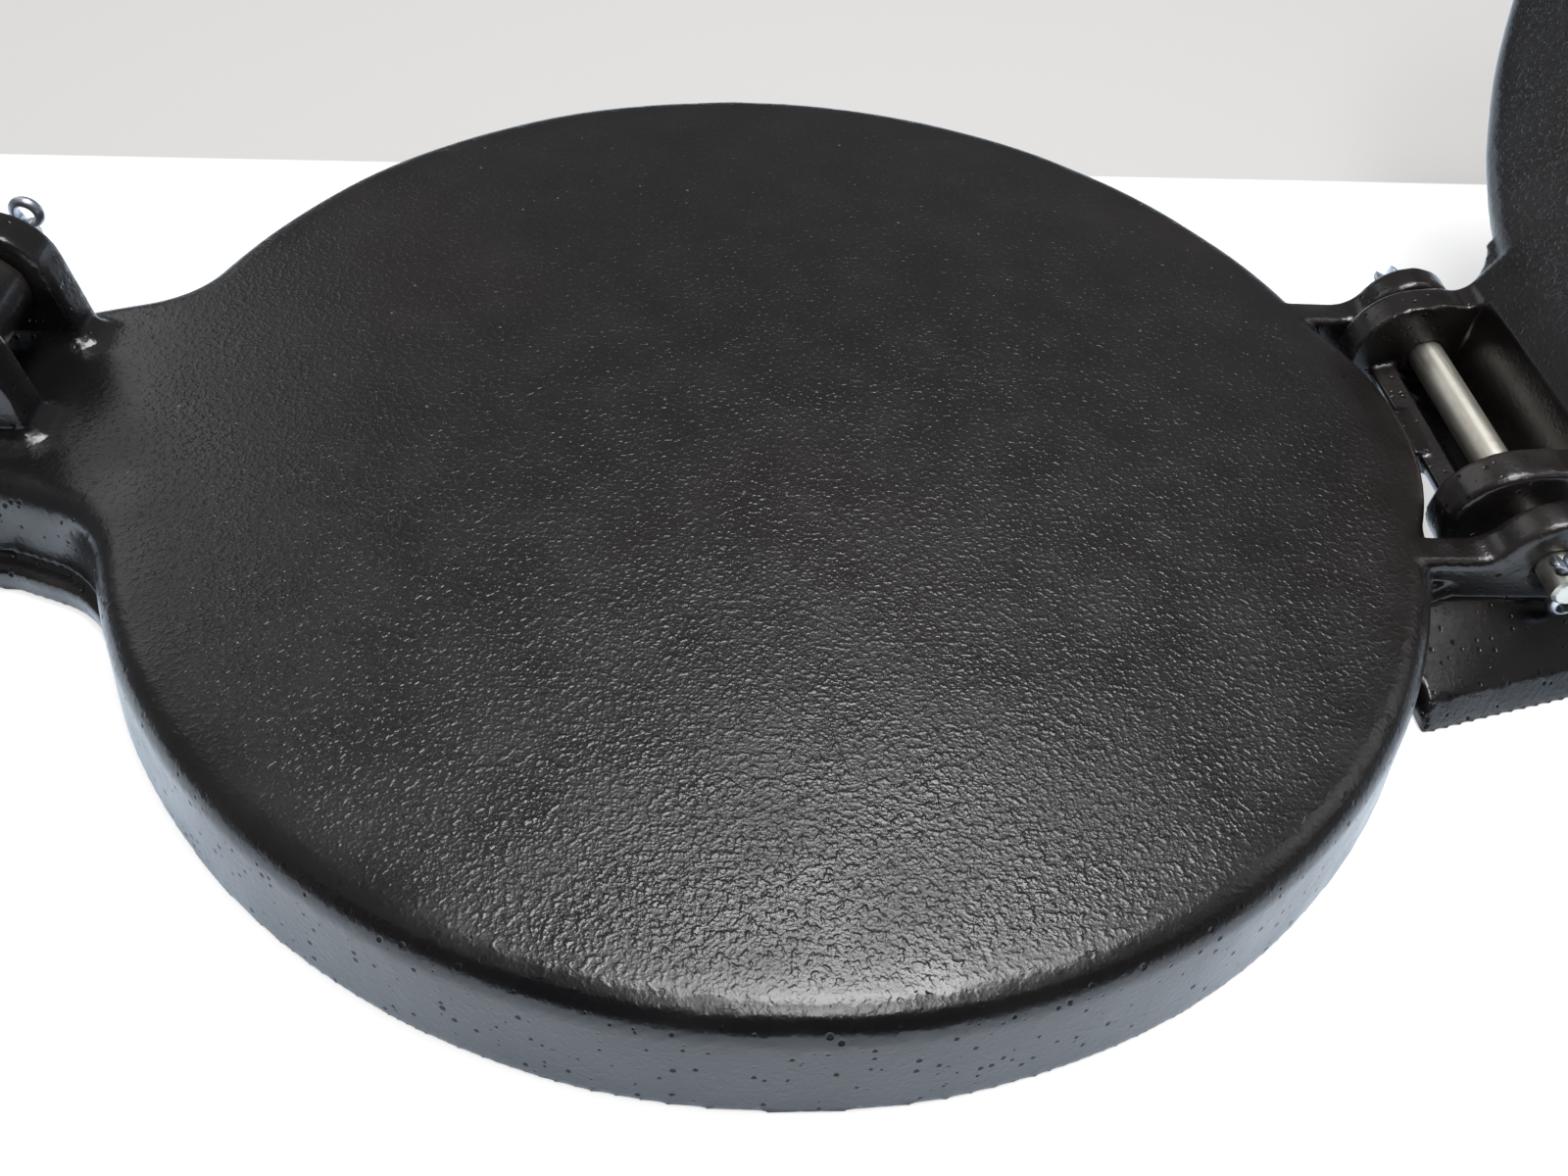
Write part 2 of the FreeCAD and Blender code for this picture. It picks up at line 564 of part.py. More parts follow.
def tongue():
    """Tongue with a rounded bump, over the edge of the press plate on the lever's side."""
    tilt = radians(LEVER_SHUT_TILT)
    reach = LEVER_ROOT_DEPTH + LEVER_GAP + TONGUE_RADIUS
    drop = (reach - (FORK_X - TONGUE_X) * sin(tilt)) / cos(tilt)
    bump = Vector(-TONGUE_X, 0, FORK_Z - drop)
    root = Vector(-TONGUE_ROOT_X, 0, FACE_GAP + PRESS_THICK - SINK)
    to_root = root - bump
    tangent = atan2(to_root.z, to_root.x) + acos(TONGUE_RADIUS / to_root.Length)
    first = on_circle(bump, TONGUE_RADIUS, tangent)
    top = on_circle(bump, TONGUE_RADIUS, 3 * pi / 4)
    last = on_circle(bump, TONGUE_RADIUS, pi)
    low_end = Vector(last.x, 0, FACE_GAP + SINK)
    low_root = Vector(root.x, 0, FACE_GAP + SINK)
    outline = Part.Wire([
        line(low_root, root), line(root, first), arc(first, top, last), line(last, low_end),
        line(low_end, low_root)])
    outline.translate(Y_AXIS * (FORK_SHIFT - TONGUE_HALF))
    return with_lips(solid_between(outline, Y_AXIS * 2 * TONGUE_HALF), FACE_GAP + 2 * SINK)


def press_plate():
    """The upper casting, modelled shut and then opened about the hinge."""
    body = join(press_disc(), [knuckle(), neck_gusset(), mirrored(neck_gusset()), tongue()])
    body = body.cut(notch()).cut(wall_recess()).fuse(stop_nub())
    body = body.cut(rod(HINGE_PIN_RADIUS + PIN_FIT, HINGE_AXIS, KNUCKLE_HALF + CUT_OVERRUN))
    body = body.removeSplitter()
    body.rotate(HINGE_AXIS, Y_AXIS, OPEN_ANGLE)
    return body


def rounded_section(along, half_depth, half_width, corner):
    """Rounded rectangle across the lever, at a distance along it."""
    bend = corner * (1 - cos(pi / 4))
    wide = half_width
    deep = half_depth

    def at(y, z):
        return Vector(along, y, z)

    edges = []
    for y_sign, z_sign in ((1, 1), (-1, 1), (-1, -1), (1, -1)):
        across = at(y_sign * wide, z_sign * (deep - corner))
        middle = at(y_sign * (wide - bend), z_sign * (deep - bend))
        down = at(y_sign * (wide - corner), z_sign * deep)
        turn = (across, middle, down) if y_sign == z_sign else (down, middle, across)
        edges.append(turn)
    shapes = []
    for i, turn in enumerate(edges):
        following = edges[(i + 1) % len(edges)]
        shapes.append(arc(*turn))
        shapes.append(line(turn[2], following[0]))
    return Part.Wire(shapes)


def lever():
    """Lever, modelled along +X from its pin and then laid back over the tab."""
    root = LEVER_ROOT_DEPTH
    length = LEVER_LENGTH
    # Each row: shares of the length, of the grip's half depth, of its half width and of its corner.
    station_shares = [
        (0.00, root / LEVER_DEPTH, 0.73, 0.56), (0.08, root / LEVER_DEPTH, 0.71, 0.56),
        (0.20, 0.94, 0.62, 0.65), (0.45, 0.85, 0.58, 0.61), (0.65, 0.91, 0.79, 0.78),
        (0.82, 1.0, 1.0, 1.0), (0.94, 0.94, 0.96, 0.96), (0.985, 0.73, 0.71, 0.74),
        (1.00, 0.36, 0.38, 0.35)]
    bar = Part.makeLoft([rounded_section(along * length, deep * LEVER_DEPTH, wide * LEVER_WIDTH,
                                         round_share * LEVER_CORNER)
                         for along, deep, wide, round_share in station_shares], True, False)
    body = bar.fuse(rod(LEVER_HUB_RADIUS, Vector(), LEVER_HUB_HALF))
    hang = Part.makeCylinder(HANG_HOLE_RADIUS, 4 * root, Vector(length - HANG_HOLE_INSET, 0, -2 * root))
    body = body.cut([hang, rod(LEVER_PIN_RADIUS + PIN_FIT, Vector(), LEVER_HUB_HALF + CUT_OVERRUN)])
    body.rotate(Vector(), Y_AXIS, 180.0 - LEVER_REST_TILT)
    body.translate(FORK_AXIS)
    return body


def pin(radius, axis, half):
    """Plain pin with chamfered ends."""
    body = rod(radius, axis, half)
    ends = [e for e in body.Edges if len(e.Vertexes) == 1 and abs(e.BoundBox.YLength) < SINK]
    return body.makeChamfer(PIN_CHAMFER, ends)


def lean_direction(lean):
    """Upright direction turned about Y, by the lean in degrees."""
    return Vector(sin(radians(lean)), 0, cos(radians(lean)))


def cross_hole(axis, y, lean):
    """Cross hole for a split pin."""
    up = lean_direction(lean)
    centre = axis + Y_AXIS * y
    reach = 2 * LEVER_PIN_RADIUS + CUT_OVERRUN
    return Part.makeCylinder(SPLIT_HOLE_RADIUS, 2 * reach, centre - up * reach, up)


def drilled_pin(radius, axis, half, split_y, lean):
    """Pin with a cross hole near each end for its split pins."""
    holes = [cross_hole(axis, side * split_y, lean) for side in (-1, 1)]
    return pin(radius, axis, half).cut(holes)


def split_pin(pin_radius, axis, y, lean):
    """Split pin: one wire folded to an eye, with two legs through the pin and bent apart below it.

    It is drawn upright in the XZ plane with the pin's axis at the origin, then leaned and moved.
    """
    offset = SPLIT_LEG_OFFSET
    throat_z = pin_radius + SPLIT_CLEAR
    rise = sqrt((SPLIT_THROAT_RADIUS + SPLIT_EYE_RADIUS) ** 2 - (offset + SPLIT_THROAT_RADIUS) ** 2)
    eye = Vector(0, 0, throat_z + rise)
    eye_top = eye + Vector(0, 0, SPLIT_EYE_RADIUS)
    low_z = -pin_radius - SPLIT_WIRE_RADIUS
    bend = radians(SPLIT_BEND_ANGLE)

    def leg(side):
        throat = Vector(side * (offset + SPLIT_THROAT_RADIUS), 0, throat_z)
        start = Vector(side * offset, 0, throat_z)
        join_point = throat + (eye - throat) * (SPLIT_THROAT_RADIUS / (eye - throat).Length)
        middle = throat + ((start + join_point) * 0.5 - throat).normalize() * SPLIT_THROAT_RADIUS
        low = Vector(side * offset, 0, low_z)
        centre = low + Vector(side * SPLIT_BEND_RADIUS, 0, 0)

        def bent(angle):
            return centre + Vector(-side * cos(angle), 0, -sin(angle)) * SPLIT_BEND_RADIUS

        end = bent(bend)
        tip = end + Vector(side * sin(bend), 0, -cos(bend)) * SPLIT_TIP
        return join_point, [line(tip, end), arc(end, bent(bend / 2), low), line(low, start),
                            arc(start, middle, join_point)], tip

    right_join, right_edges, tip = leg(1)
    left_join, left_edges, _ = leg(-1)
    path = Part.Wire(right_edges + [arc(right_join, eye_top, left_join)] + left_edges[::-1])
    bend_way = (right_edges[0].Vertexes[1].Point - tip).normalize()
    ring = Part.Wire(Part.makeCircle(SPLIT_WIRE_RADIUS, tip, bend_way))
    body = path.makePipeShell([ring], True, False)
    body.rotate(Vector(), Y_AXIS, lean)
    body.translate(axis + Y_AXIS * y)
    return body


def main():
    hinge_y = LUG_OUTER + HINGE_SPLIT_SEAT
    fork_y = FORK_OUTER + LEVER_SPLIT_SEAT
    hinge_half = LUG_OUTER + HINGE_PIN_STICKOUT
    fork_half = FORK_OUTER + LEVER_PIN_STICKOUT
    nodes = {
        "base_plate": base_plate(),
        "press_plate": press_plate(),
        "lever": lever(),
        "hinge_pin": drilled_pin(HINGE_PIN_RADIUS, HINGE_AXIS, hinge_half, hinge_y, SPLIT_LEAN_HINGE),
        "lever_pin": drilled_pin(LEVER_PIN_RADIUS, FORK_AXIS, fork_half, fork_y, SPLIT_LEAN_FORK),
        "hinge_split_pin_front": split_pin(HINGE_PIN_RADIUS, HINGE_AXIS, -hinge_y, SPLIT_LEAN_HINGE),
        "hinge_split_pin_back": split_pin(HINGE_PIN_RADIUS, HINGE_AXIS, hinge_y, SPLIT_LEAN_HINGE),
        "lever_split_pin_front": split_pin(LEVER_PIN_RADIUS, FORK_AXIS, -fork_y, SPLIT_LEAN_FORK),
        "lever_split_pin_back": split_pin(LEVER_PIN_RADIUS, FORK_AXIS, fork_y, SPLIT_LEAN_FORK),
    }
    os.makedirs("parts", exist_ok=True)
    for name, shape in nodes.items():
        solids = shape.Solids
        print(name, "valid", shape.isValid(), "solids", len(solids), "volume", round(shape.Volume, 1))
        shape.exportStep(os.path.join("parts", name + ".step"))


main()
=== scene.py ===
import math
import bmesh
import bpy
import numpy as np
from mathutils import Matrix, Vector


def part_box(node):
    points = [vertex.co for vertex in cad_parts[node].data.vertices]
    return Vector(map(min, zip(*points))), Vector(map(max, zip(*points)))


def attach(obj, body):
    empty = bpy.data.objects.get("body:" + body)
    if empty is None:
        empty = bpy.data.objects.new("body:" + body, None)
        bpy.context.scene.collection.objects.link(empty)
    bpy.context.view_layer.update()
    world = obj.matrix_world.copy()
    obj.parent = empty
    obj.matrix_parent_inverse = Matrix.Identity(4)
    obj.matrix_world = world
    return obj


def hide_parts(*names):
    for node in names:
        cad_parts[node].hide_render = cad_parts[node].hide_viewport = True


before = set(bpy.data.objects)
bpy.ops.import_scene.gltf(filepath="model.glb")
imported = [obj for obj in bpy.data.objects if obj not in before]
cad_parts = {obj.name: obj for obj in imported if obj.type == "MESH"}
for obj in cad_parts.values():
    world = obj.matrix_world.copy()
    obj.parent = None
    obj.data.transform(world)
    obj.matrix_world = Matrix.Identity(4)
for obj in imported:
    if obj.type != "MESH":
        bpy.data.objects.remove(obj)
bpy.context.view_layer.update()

# %% [markdown]
# A cast iron tortilla press stands open on a white table. Its two heavy plates, the fork and the lever are
# sand castings, rubbed with oil and baked black. The pins and split pins are bought steel ones.
# This lesson dresses the measured model: soft iron skins, bent wire, and the finishes that each has.
#
# The press is photographed from close by, a little above its front edge. The lens and the place of the
# camera were worked out from the outline of the round plate. A wide lens of 28 mm on a 36 mm sensor gives
# the strong narrowing of the far side. The camera is built from its three axes, because a circle seen in
# perspective is very sensitive to a small error in tilt or roll.

# %% Camera
CAMERA_PLACE = Vector((-0.017619, -0.189414, 0.159110))
CAMERA_AHEAD = Vector((0.07576, 0.66003, -0.74741)).normalized()
CAMERA_RIGHT = Vector((0.99706, -0.04146, 0.06446)).normalized()
LENS = 28.125                  # in mm, on the 36 mm sensor
SENSOR = 36.0
NEAREST = 0.005                # the camera sees from 5 mm on


def show(thing):
    """Puts an object in the scene and hands it back."""
    bpy.context.scene.collection.objects.link(thing)
    return thing


def make_camera():
    """Camera whose axes are right, up and backwards, as the columns of its matrix."""
    data = bpy.data.cameras.new("photo_camera")
    data.lens = LENS
    data.sensor_width = SENSOR
    data.clip_start = NEAREST
    up = CAMERA_RIGHT.cross(CAMERA_AHEAD).normalized()
    right = CAMERA_AHEAD.cross(up).normalized()
    turn = Matrix((right, up, -CAMERA_AHEAD)).transposed().to_4x4()
    camera = show(bpy.data.objects.new("photo_camera", data))
    camera.matrix_world = Matrix.Translation(CAMERA_PLACE) @ turn
    bpy.context.scene.camera = camera
    return camera


camera = make_camera()
print("camera at", [round(v, 4) for v in camera.matrix_world.translation])

# %% [markdown]
# A material is a small network of nodes. These helpers set a node's values by name and join two sockets,
# so that each finish further down reads as a list of what it is made of.

# %% Helpers for materials
def empty_finish(name):
    """New material, its tree and its shader."""
    material = bpy.data.materials.new(name)
    material.use_nodes = True
    return material, material.node_tree, material.node_tree.nodes["Principled BSDF"]


def add(tree, kind, settings=None, **values):
    """Node of a kind, with its settings and the values of its named inputs."""
    made = tree.nodes.new("ShaderNode" + kind)
    for key, value in (settings or {}).items():
        setattr(made, key, value)
    for key, value in values.items():
        made.inputs[key.replace("_", " ")].default_value = value
    return made


def blend_colours(tree, share, first, second):
    """Colour that runs from the first to the second as share runs from 0 to 1."""
    mixer = add(tree, "Mix", {"data_type": "RGBA"})
    for socket, value in ((0, share), (6, first), (7, second)):
        if isinstance(value, tuple):
            mixer.inputs[socket].default_value = (*value, 1.0)
        else:
            tree.links.new(value, mixer.inputs[socket])
    return mixer.outputs[2]


def between(tree, value, low, high, to_low=0.0, to_high=1.0):
    """Value stretched from one range to another, and held at the ends."""
    ranger = add(tree, "MapRange", {"clamp": True})
    tree.links.new(value, ranger.inputs[0])
    for socket, number in zip((1, 2, 3, 4), (low, high, to_low, to_high)):
        ranger.inputs[socket].default_value = number
    return ranger.outputs[0]


def calc(tree, operation, first, second):
    """Sum, product or other operation of two values."""
    math_node = add(tree, "Math", {"operation": operation})
    for socket, value in enumerate((first, second)):
        if isinstance(value, float):
            math_node.inputs[socket].default_value = value
        else:
            tree.links.new(value, math_node.inputs[socket])
    return math_node.outputs[0]


def noise(tree, place, scale, detail=2.0, rough=0.5):
    """Cloudy pattern, with so many lumps to the metre."""
    lumps = add(tree, "TexNoise", Scale=scale, Detail=detail, Roughness=rough)
    tree.links.new(place, lumps.inputs["Vector"])
    return lumps.outputs[0]


print("helpers ready")

# %% [markdown]
# The table is white and burns out in the photograph, and a pale cloth hangs behind it. One flat floor does
# for both, with a straight line where the cloth begins. It glows a little for the camera and in
# reflections, so that it stays white without more light on the black iron, and it keeps its soft shadow.

# %% Floor
TABLE_Z = -0.021
CLOTH_NEAR = 0.1262            # where the cloth begins, behind the middle of the press
CLOTH_SLANT = 0.0325           # how far that line turns away to the right, for each metre
CLOTH_SOFT = 0.0006            # half the width over which it blends
TABLE_WHITE = (0.80, 0.80, 0.80)
CLOTH_GREY = (0.435, 0.430, 0.425)
MIRRORED_TABLE = (0.61, 0.77, 0.96)
SEEN_GLOW = 0.75
MIRRORED_GLOW = 0.92
TABLE_ROUGH = 0.7
FLOOR_HALF = 6.0


def table_finish():
    """White on this side of the line and the cloth's grey beyond it, with a glow by the kind of ray."""
    material, tree, shader = empty_finish("pale_table")
    place = add(tree, "TexCoord").outputs["Object"]
    parts = add(tree, "SeparateXYZ")
    tree.links.new(place, parts.inputs[0])
    line = calc(tree, "SUBTRACT", parts.outputs[1], calc(tree, "MULTIPLY", parts.outputs[0], CLOTH_SLANT))
    behind = between(tree, line, CLOTH_NEAR - CLOTH_SOFT, CLOTH_NEAR + CLOTH_SOFT)
    colour = blend_colours(tree, behind, TABLE_WHITE, CLOTH_GREY)
    tree.links.new(colour, shader.inputs["Base Color"])
    rays = add(tree, "LightPath")
    mirrored = blend_colours(tree, rays.outputs["Is Glossy Ray"], colour, MIRRORED_TABLE)
    tree.links.new(mirrored, shader.inputs["Emission Color"])
    seen = calc(tree, "MULTIPLY", rays.outputs["Is Camera Ray"], SEEN_GLOW)
    seen = calc(tree, "ADD", seen, calc(tree, "MULTIPLY", rays.outputs["Is Glossy Ray"], MIRRORED_GLOW))
    tree.links.new(seen, shader.inputs["Emission Strength"])
    shader.inputs["Roughness"].default_value = TABLE_ROUGH
    return material


def sheet_of_four(name, corners, material):
    """Flat four-cornered sheet."""
    mesh = bpy.data.meshes.new(name)
    mesh.from_pydata(corners, [], [(0, 1, 2, 3)])
    mesh.materials.append(material)
    return show(bpy.data.objects.new(name, mesh))


floor_corners = [(-FLOOR_HALF, -FLOOR_HALF, TABLE_Z), (FLOOR_HALF, -FLOOR_HALF, TABLE_Z),
                 (FLOOR_HALF, FLOOR_HALF, TABLE_Z), (-FLOOR_HALF, FLOOR_HALF, TABLE_Z)]
floor = sheet_of_four("floor", floor_corners, table_finish())
print("table at", TABLE_Z)

# %% [markdown]
# Black glossy iron shows mostly what it reflects. A soft lamp overhead lights the near part of the face, and
# a smaller one in front of it the ridge round the plate. The white table lights the wall. The dark strip
# between ridge and wall is the unlit side of the room, where the photographer stands. A dark card makes
# that side, and only reflections see it.

# %% Light
LAMPS = (                      # name, place, size and power in watts
    ("ceiling_lamp", (0.13, 0.15, 1.00), 0.42, 7.2),
    ("rim_lamp", (0.10, -0.34, 0.95), 0.26, 2.2),
    ("window_lamp", (-0.9, 0.9, 0.8), 0.70, 1.5),
)
CARD_HALF = 1.1                # half the dark card's width
CARD_FOOT = (-0.80, 0.02)      # y and z of its lower edge
CARD_TOP = (-0.50, 0.86)       # and of its upper edge
CARD_BLACK = (0.01, 0.01, 0.01, 1.0)
ROOM_COLOUR = (0.94, 0.95, 0.97, 1.0)
ROOM_STRENGTH = 0.175


def soft_lamp(name, place, size, power):
    """Square area lamp that looks at the middle of the press."""
    data = bpy.data.lights.new(name, "AREA")
    data.shape = "SQUARE"
    data.size = size
    data.energy = power
    lamp = show(bpy.data.objects.new(name, data))
    lamp.location = place
    lamp.rotation_euler = (-Vector(place)).to_track_quat("-Z", "Y").to_euler()


def dark_card():
    """Dark card over the photographer's side, seen only in reflections."""
    material, tree, shader = empty_finish("card_black")
    shader.inputs["Base Color"].default_value = CARD_BLACK
    shader.inputs["Roughness"].default_value = 1.0
    card = sheet_of_four("dark_card", [(-CARD_HALF, *CARD_FOOT), (CARD_HALF, *CARD_FOOT),
                                       (CARD_HALF, *CARD_TOP), (-CARD_HALF, *CARD_TOP)], material)
    card.visible_camera = False
    card.visible_diffuse = False
    card.visible_shadow = False
    card.visible_transmission = False


def pale_room():
    """Dim, nearly white world, which fills the shadows."""
    world = bpy.data.worlds.new("studio")
    bpy.context.scene.world = world
    world.use_nodes = True
    background = world.node_tree.nodes["Background"]
    background.inputs["Color"].default_value = ROOM_COLOUR
    background.inputs["Strength"].default_value = ROOM_STRENGTH


for lamp_row in LAMPS:
    soft_lamp(*lamp_row)
dark_card()
pale_room()
bpy.context.scene.view_settings.view_transform = "Standard"

# %% [markdown]
# Sand casting leaves no sharp corner: iron that fills the mould rounds every hollow, and the fettler's
# wheel rounds every edge. The measured model has crisp creases, so each casting gets a skin. Voxel Remesh
# turns a merged copy of its mesh into even cells, small ones at bends and larger ones where it is flat.
# Shrinkwrap then lays the cells on the measured surface, and a little smoothing softens the creases.

# %% Cells on the measured surface
SAME_POINT = 2e-6              # points nearer than this are one
FLAT_CELLS = 0.01              # how freely cells grow where the surface is flat


def merged_copy(node_name):
    """Copy of a node's mesh, with the points that lie on one another made one."""
    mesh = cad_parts[node_name].data.copy()
    work = bmesh.new()
    work.from_mesh(mesh)
    bmesh.ops.remove_doubles(work, verts=work.verts, dist=SAME_POINT)
    work.to_mesh(mesh)
    work.free()
    return mesh


def cells_on_surface(node_name, cell):
    """Cells of the given size that lie on the node's surface."""
    mesh = merged_copy(node_name)
    surface = show(bpy.data.objects.new(node_name + "_surface", mesh))
    holder = show(bpy.data.objects.new(node_name + "_holder", mesh))
    skin = holder.modifiers.new("skin", "REMESH")
    skin.mode = "VOXEL"
    skin.voxel_size = cell
    skin.adaptivity = FLAT_CELLS
    wrap = holder.modifiers.new("wrap", "SHRINKWRAP")
    wrap.target = surface
    graph = bpy.context.evaluated_depsgraph_get()
    cells = bpy.data.meshes.new_from_object(holder.evaluated_get(graph))
    bpy.data.objects.remove(holder)
    bpy.data.objects.remove(surface)
    return cells


def read_points(mesh):
    points = np.empty(len(mesh.vertices) * 3)
    mesh.vertices.foreach_get("co", points)
    return points.reshape(-1, 3)


def read_normals(mesh):
    normals = np.empty(len(mesh.vertices) * 3)
    mesh.vertex_normals.foreach_get("vector", normals)
    return normals.reshape(-1, 3)


def read_edges(mesh):
    edges = np.empty(len(mesh.edges) * 2, dtype=np.int64)
    mesh.edges.foreach_get("vertices", edges)
    return edges.reshape(-1, 2)


print("mesh readers ready")

# %% [markdown]
# Smoothing moves every point half-way to the mean of its neighbours, a few times over. Near neighbours
# count for more than far ones. One sum over the edges gives all the means at once, so that a skin of ninety
# thousand points takes a blink.

# %% Smoothing
SHORTEST_EDGE = 0.0002         # shorter edges count as this long


def neighbour_mean(values, edges, weight):
    """Mean of each point's neighbours: sum of weight times value over its edges, divided by the weights."""
    size = len(values)
    a, b = edges.T
    total = np.bincount(a, weight, size) + np.bincount(b, weight, size)
    columns = [np.bincount(a, column[b] * weight, size) + np.bincount(b, column[a] * weight, size)
               for column in values.T]
    return np.stack(columns, axis=1) / total[:, None]


def smoothed(values, edges, weight, rounds):
    """Each round: new value = half the old one + half its neighbours' mean."""
    for _ in range(rounds):
        values = 0.5 * values + 0.5 * neighbour_mean(values, edges, weight)
    return values


def edge_weights(points, edges):
    """One over each edge's length."""
    lengths = np.linalg.norm(points[edges[:, 0]] - points[edges[:, 1]], axis=1)
    return 1 / np.maximum(lengths, SHORTEST_EDGE)


bent_line = np.array([[0.0], [0.0], [1.0], [0.0], [0.0]])
line_edges = np.array([[0, 1], [1, 2], [2, 3], [3, 4]])
print("a spike after two rounds", smoothed(bent_line, line_edges, np.ones(4), 2).ravel())

# %% [markdown]
# A mould rammed by hand is never quite flat. Slow waves, nowhere higher than a fifth of a millimetre, make
# the reflections wander along the walls. They are a sum of sines whose lengths run from 12 to 60 mm. A
# noise texture could do it too, but a sum of sines moves the points themselves and has no grain.

# %% Waves of the mould
WAVES = 24
WAVE_HEIGHT = 0.000028         # of the longest wave
SHORT_WAVE = 0.012
LONG_WAVE = 0.060
chance = np.random.default_rng(7)
wave_way = chance.normal(size=(WAVES, 3))
wave_way /= np.linalg.norm(wave_way, axis=1)[:, None]
wave_length = np.geomspace(SHORT_WAVE, LONG_WAVE, WAVES)
wave_start = chance.uniform(0, 2 * np.pi, WAVES)


def mould_waves(points):
    """Height = sum over the waves of (length / longest) times sin(2 pi (way . point) / length + start)."""
    phase = points @ (wave_way / wave_length[:, None]).T * 2 * np.pi + wave_start
    return WAVE_HEIGHT * (np.sin(phase) * (wave_length / LONG_WAVE)).sum(axis=1)


sample = mould_waves(chance.uniform(-0.12, 0.12, (4000, 3)))
print("highest wave", round(float(np.abs(sample).max()) * 1000, 3), "mm")

# %% [markdown]
# The finish has to know where it is: the pressing faces are matt and sandy, edges are rubbed and carry a
# painted highlight, and hollows keep more oil. Each casting therefore carries four numbers on every point,
# worked out from its shape, and the material reads them as attributes.

# %% Marks for the finish
FAINT_BEND = 0.00004           # a point stands out this far where a mark begins
SHARP_BEND = 0.00022           # and this far where it is full
BEND_ROUNDS = 8                # rounds of smoothing that an edge is measured against
SPREAD_ROUNDS = 3              # rounds that soften the mark


def ramp(value, start, end):
    """0 before start, 1 after end, and a soft S between: share squared times (3 - 2 share)."""
    share = np.clip((value - start) / (end - start), 0, 1)
    return share * share * (3 - 2 * share)


def write_mark(mesh, name, values):
    """One number on every point, which the material reads by its name."""
    layer = mesh.attributes.new(name, "FLOAT", "POINT")
    layer.data.foreach_set("value", np.ascontiguousarray(values, dtype=np.float32))


def mark_edges(mesh, points, edges, weight):
    """How far a point stands out of the smoothed shape: positive on edges, negative in hollows."""
    out = ((points - smoothed(points, edges, weight, BEND_ROUNDS)) * read_normals(mesh)).sum(axis=1)
    out = smoothed(out[:, None], edges, weight, SPREAD_ROUNDS)[:, 0]
    # The edge mark also paints edges paler in the colour: partly wear, partly a painted highlight.
    write_mark(mesh, "worn_and_highlit_edge", ramp(out, FAINT_BEND, SHARP_BEND))
    write_mark(mesh, "oily_hollow", ramp(-out, FAINT_BEND, SHARP_BEND))


print("marks ready")

# %% [markdown]
# One function makes each casting: cells, smoothing, waves, and then the pin holes. A point that the
# smoothing left inside a hole is pushed straight out to the hole's wall, so that the pin stays free.

# %% A casting
SKIN_ROUNDS = 2                # rounds of smoothing that soften the creases
FLAT_PULL = 80                 # how strongly the larger faces set the shading


def clear_hole(points, x, z, radius):
    """Points nearer to the hole's axis than its radius move out to it, in the XZ plane."""
    across = points[:, [0, 2]] - (x, z)
    away = np.linalg.norm(across, axis=1)
    share = np.maximum(away, radius) / np.maximum(away, 1e-9)
    points[:, [0, 2]] = (x, z) + across * share[:, None]
    return points


def even_shading(made):
    """Normals that follow the larger faces, so that flats stay flat up to their rounded borders."""
    shading = made.modifiers.new("even_shading", "WEIGHTED_NORMAL")
    shading.mode = "FACE_AREA_WITH_ANGLE"
    shading.weight = FLAT_PULL
    graph = bpy.context.evaluated_depsgraph_get()
    made.data = bpy.data.meshes.new_from_object(made.evaluated_get(graph))
    made.modifiers.remove(shading)


def casting(name, node_name, body, cell, holes, own_marks):
    """Skin of one casting that takes its node's place and rides on the same body."""
    mesh = cells_on_surface(node_name, cell)
    edges = read_edges(mesh)
    points = read_points(mesh)
    weight = edge_weights(points, edges)
    points = smoothed(points, edges, weight, SKIN_ROUNDS)
    mesh.vertices.foreach_set("co", points.ravel())
    mesh.update()
    points = points + read_normals(mesh) * mould_waves(points)[:, None]
    for hole in holes:
        points = clear_hole(points, *hole)
    low, high = (np.array(corner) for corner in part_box(node_name))
    points = np.clip(points, low, high)
    mesh.vertices.foreach_set("co", points.ravel())
    mesh.update()
    mesh.shade_smooth()
    mark_edges(mesh, points, edges, weight)
    for mark_name, values in zip(("pressing_face", "brown_foot_band"), own_marks(points)):
        write_mark(mesh, mark_name, values)
    made = show(bpy.data.objects.new(name, mesh))
    even_shading(made)
    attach(made, body)
    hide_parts(node_name)
    print(name, len(made.data.polygons), "cells")
    return made


# %% [markdown]
# The base plate is one casting: the disc with its pressing face, a wall that flares to the table, the tab
# with the fork's two ears, and the two arms with the hinge lugs. Its face is the level z = 0.

# %% Base plate
HINGE_X = 0.1436
FORK_X = -0.150
FORK_Z = 0.0145
HINGE_PIN = 0.0035             # radius of the hinge pin
LEVER_PIN = 0.0030             # radius of the lever pin
PIN_PLAY = 0.0001
hinge_hole = (HINGE_X, 0.0, HINGE_PIN + PIN_PLAY)
fork_hole = (FORK_X, FORK_Z, LEVER_PIN + PIN_PLAY)
BASE_CELL = 0.00072
FACE_FROM = (-0.0030, -0.0006)  # heights between which the wall turns into the face
FACE_TO = (0.0004, 0.0022)     # and the face into the ears and lugs
RIM = (0.1165, 0.1225)         # radii between which the face grows smoother
RIM_CALM = 0.82                # share of the sand's grain that is gone at the rim
BROWN_BAND_TO = (-0.0206, -0.0200)   # heights between which the brown, dull band at the foot ends


def calmer_rim(away):
    """Share of grain = 1 - calm share times the ramp over the rim."""
    return 1 - RIM_CALM * ramp(away, *RIM)


def base_marks(points):
    """Pressing face between its rim and the ears' feet, and a brown, dull band along the lowest edge of the
    foot.
    """
    z = points[:, 2]
    level = ramp(z, *FACE_FROM) * (1 - ramp(z, *FACE_TO))
    face = level * calmer_rim(np.hypot(points[:, 0], points[:, 1]))
    return face, 1 - ramp(z, *BROWN_BAND_TO)


base_casting = casting("base_casting", "base_plate", "base", BASE_CELL, [hinge_hole, fork_hole], base_marks)

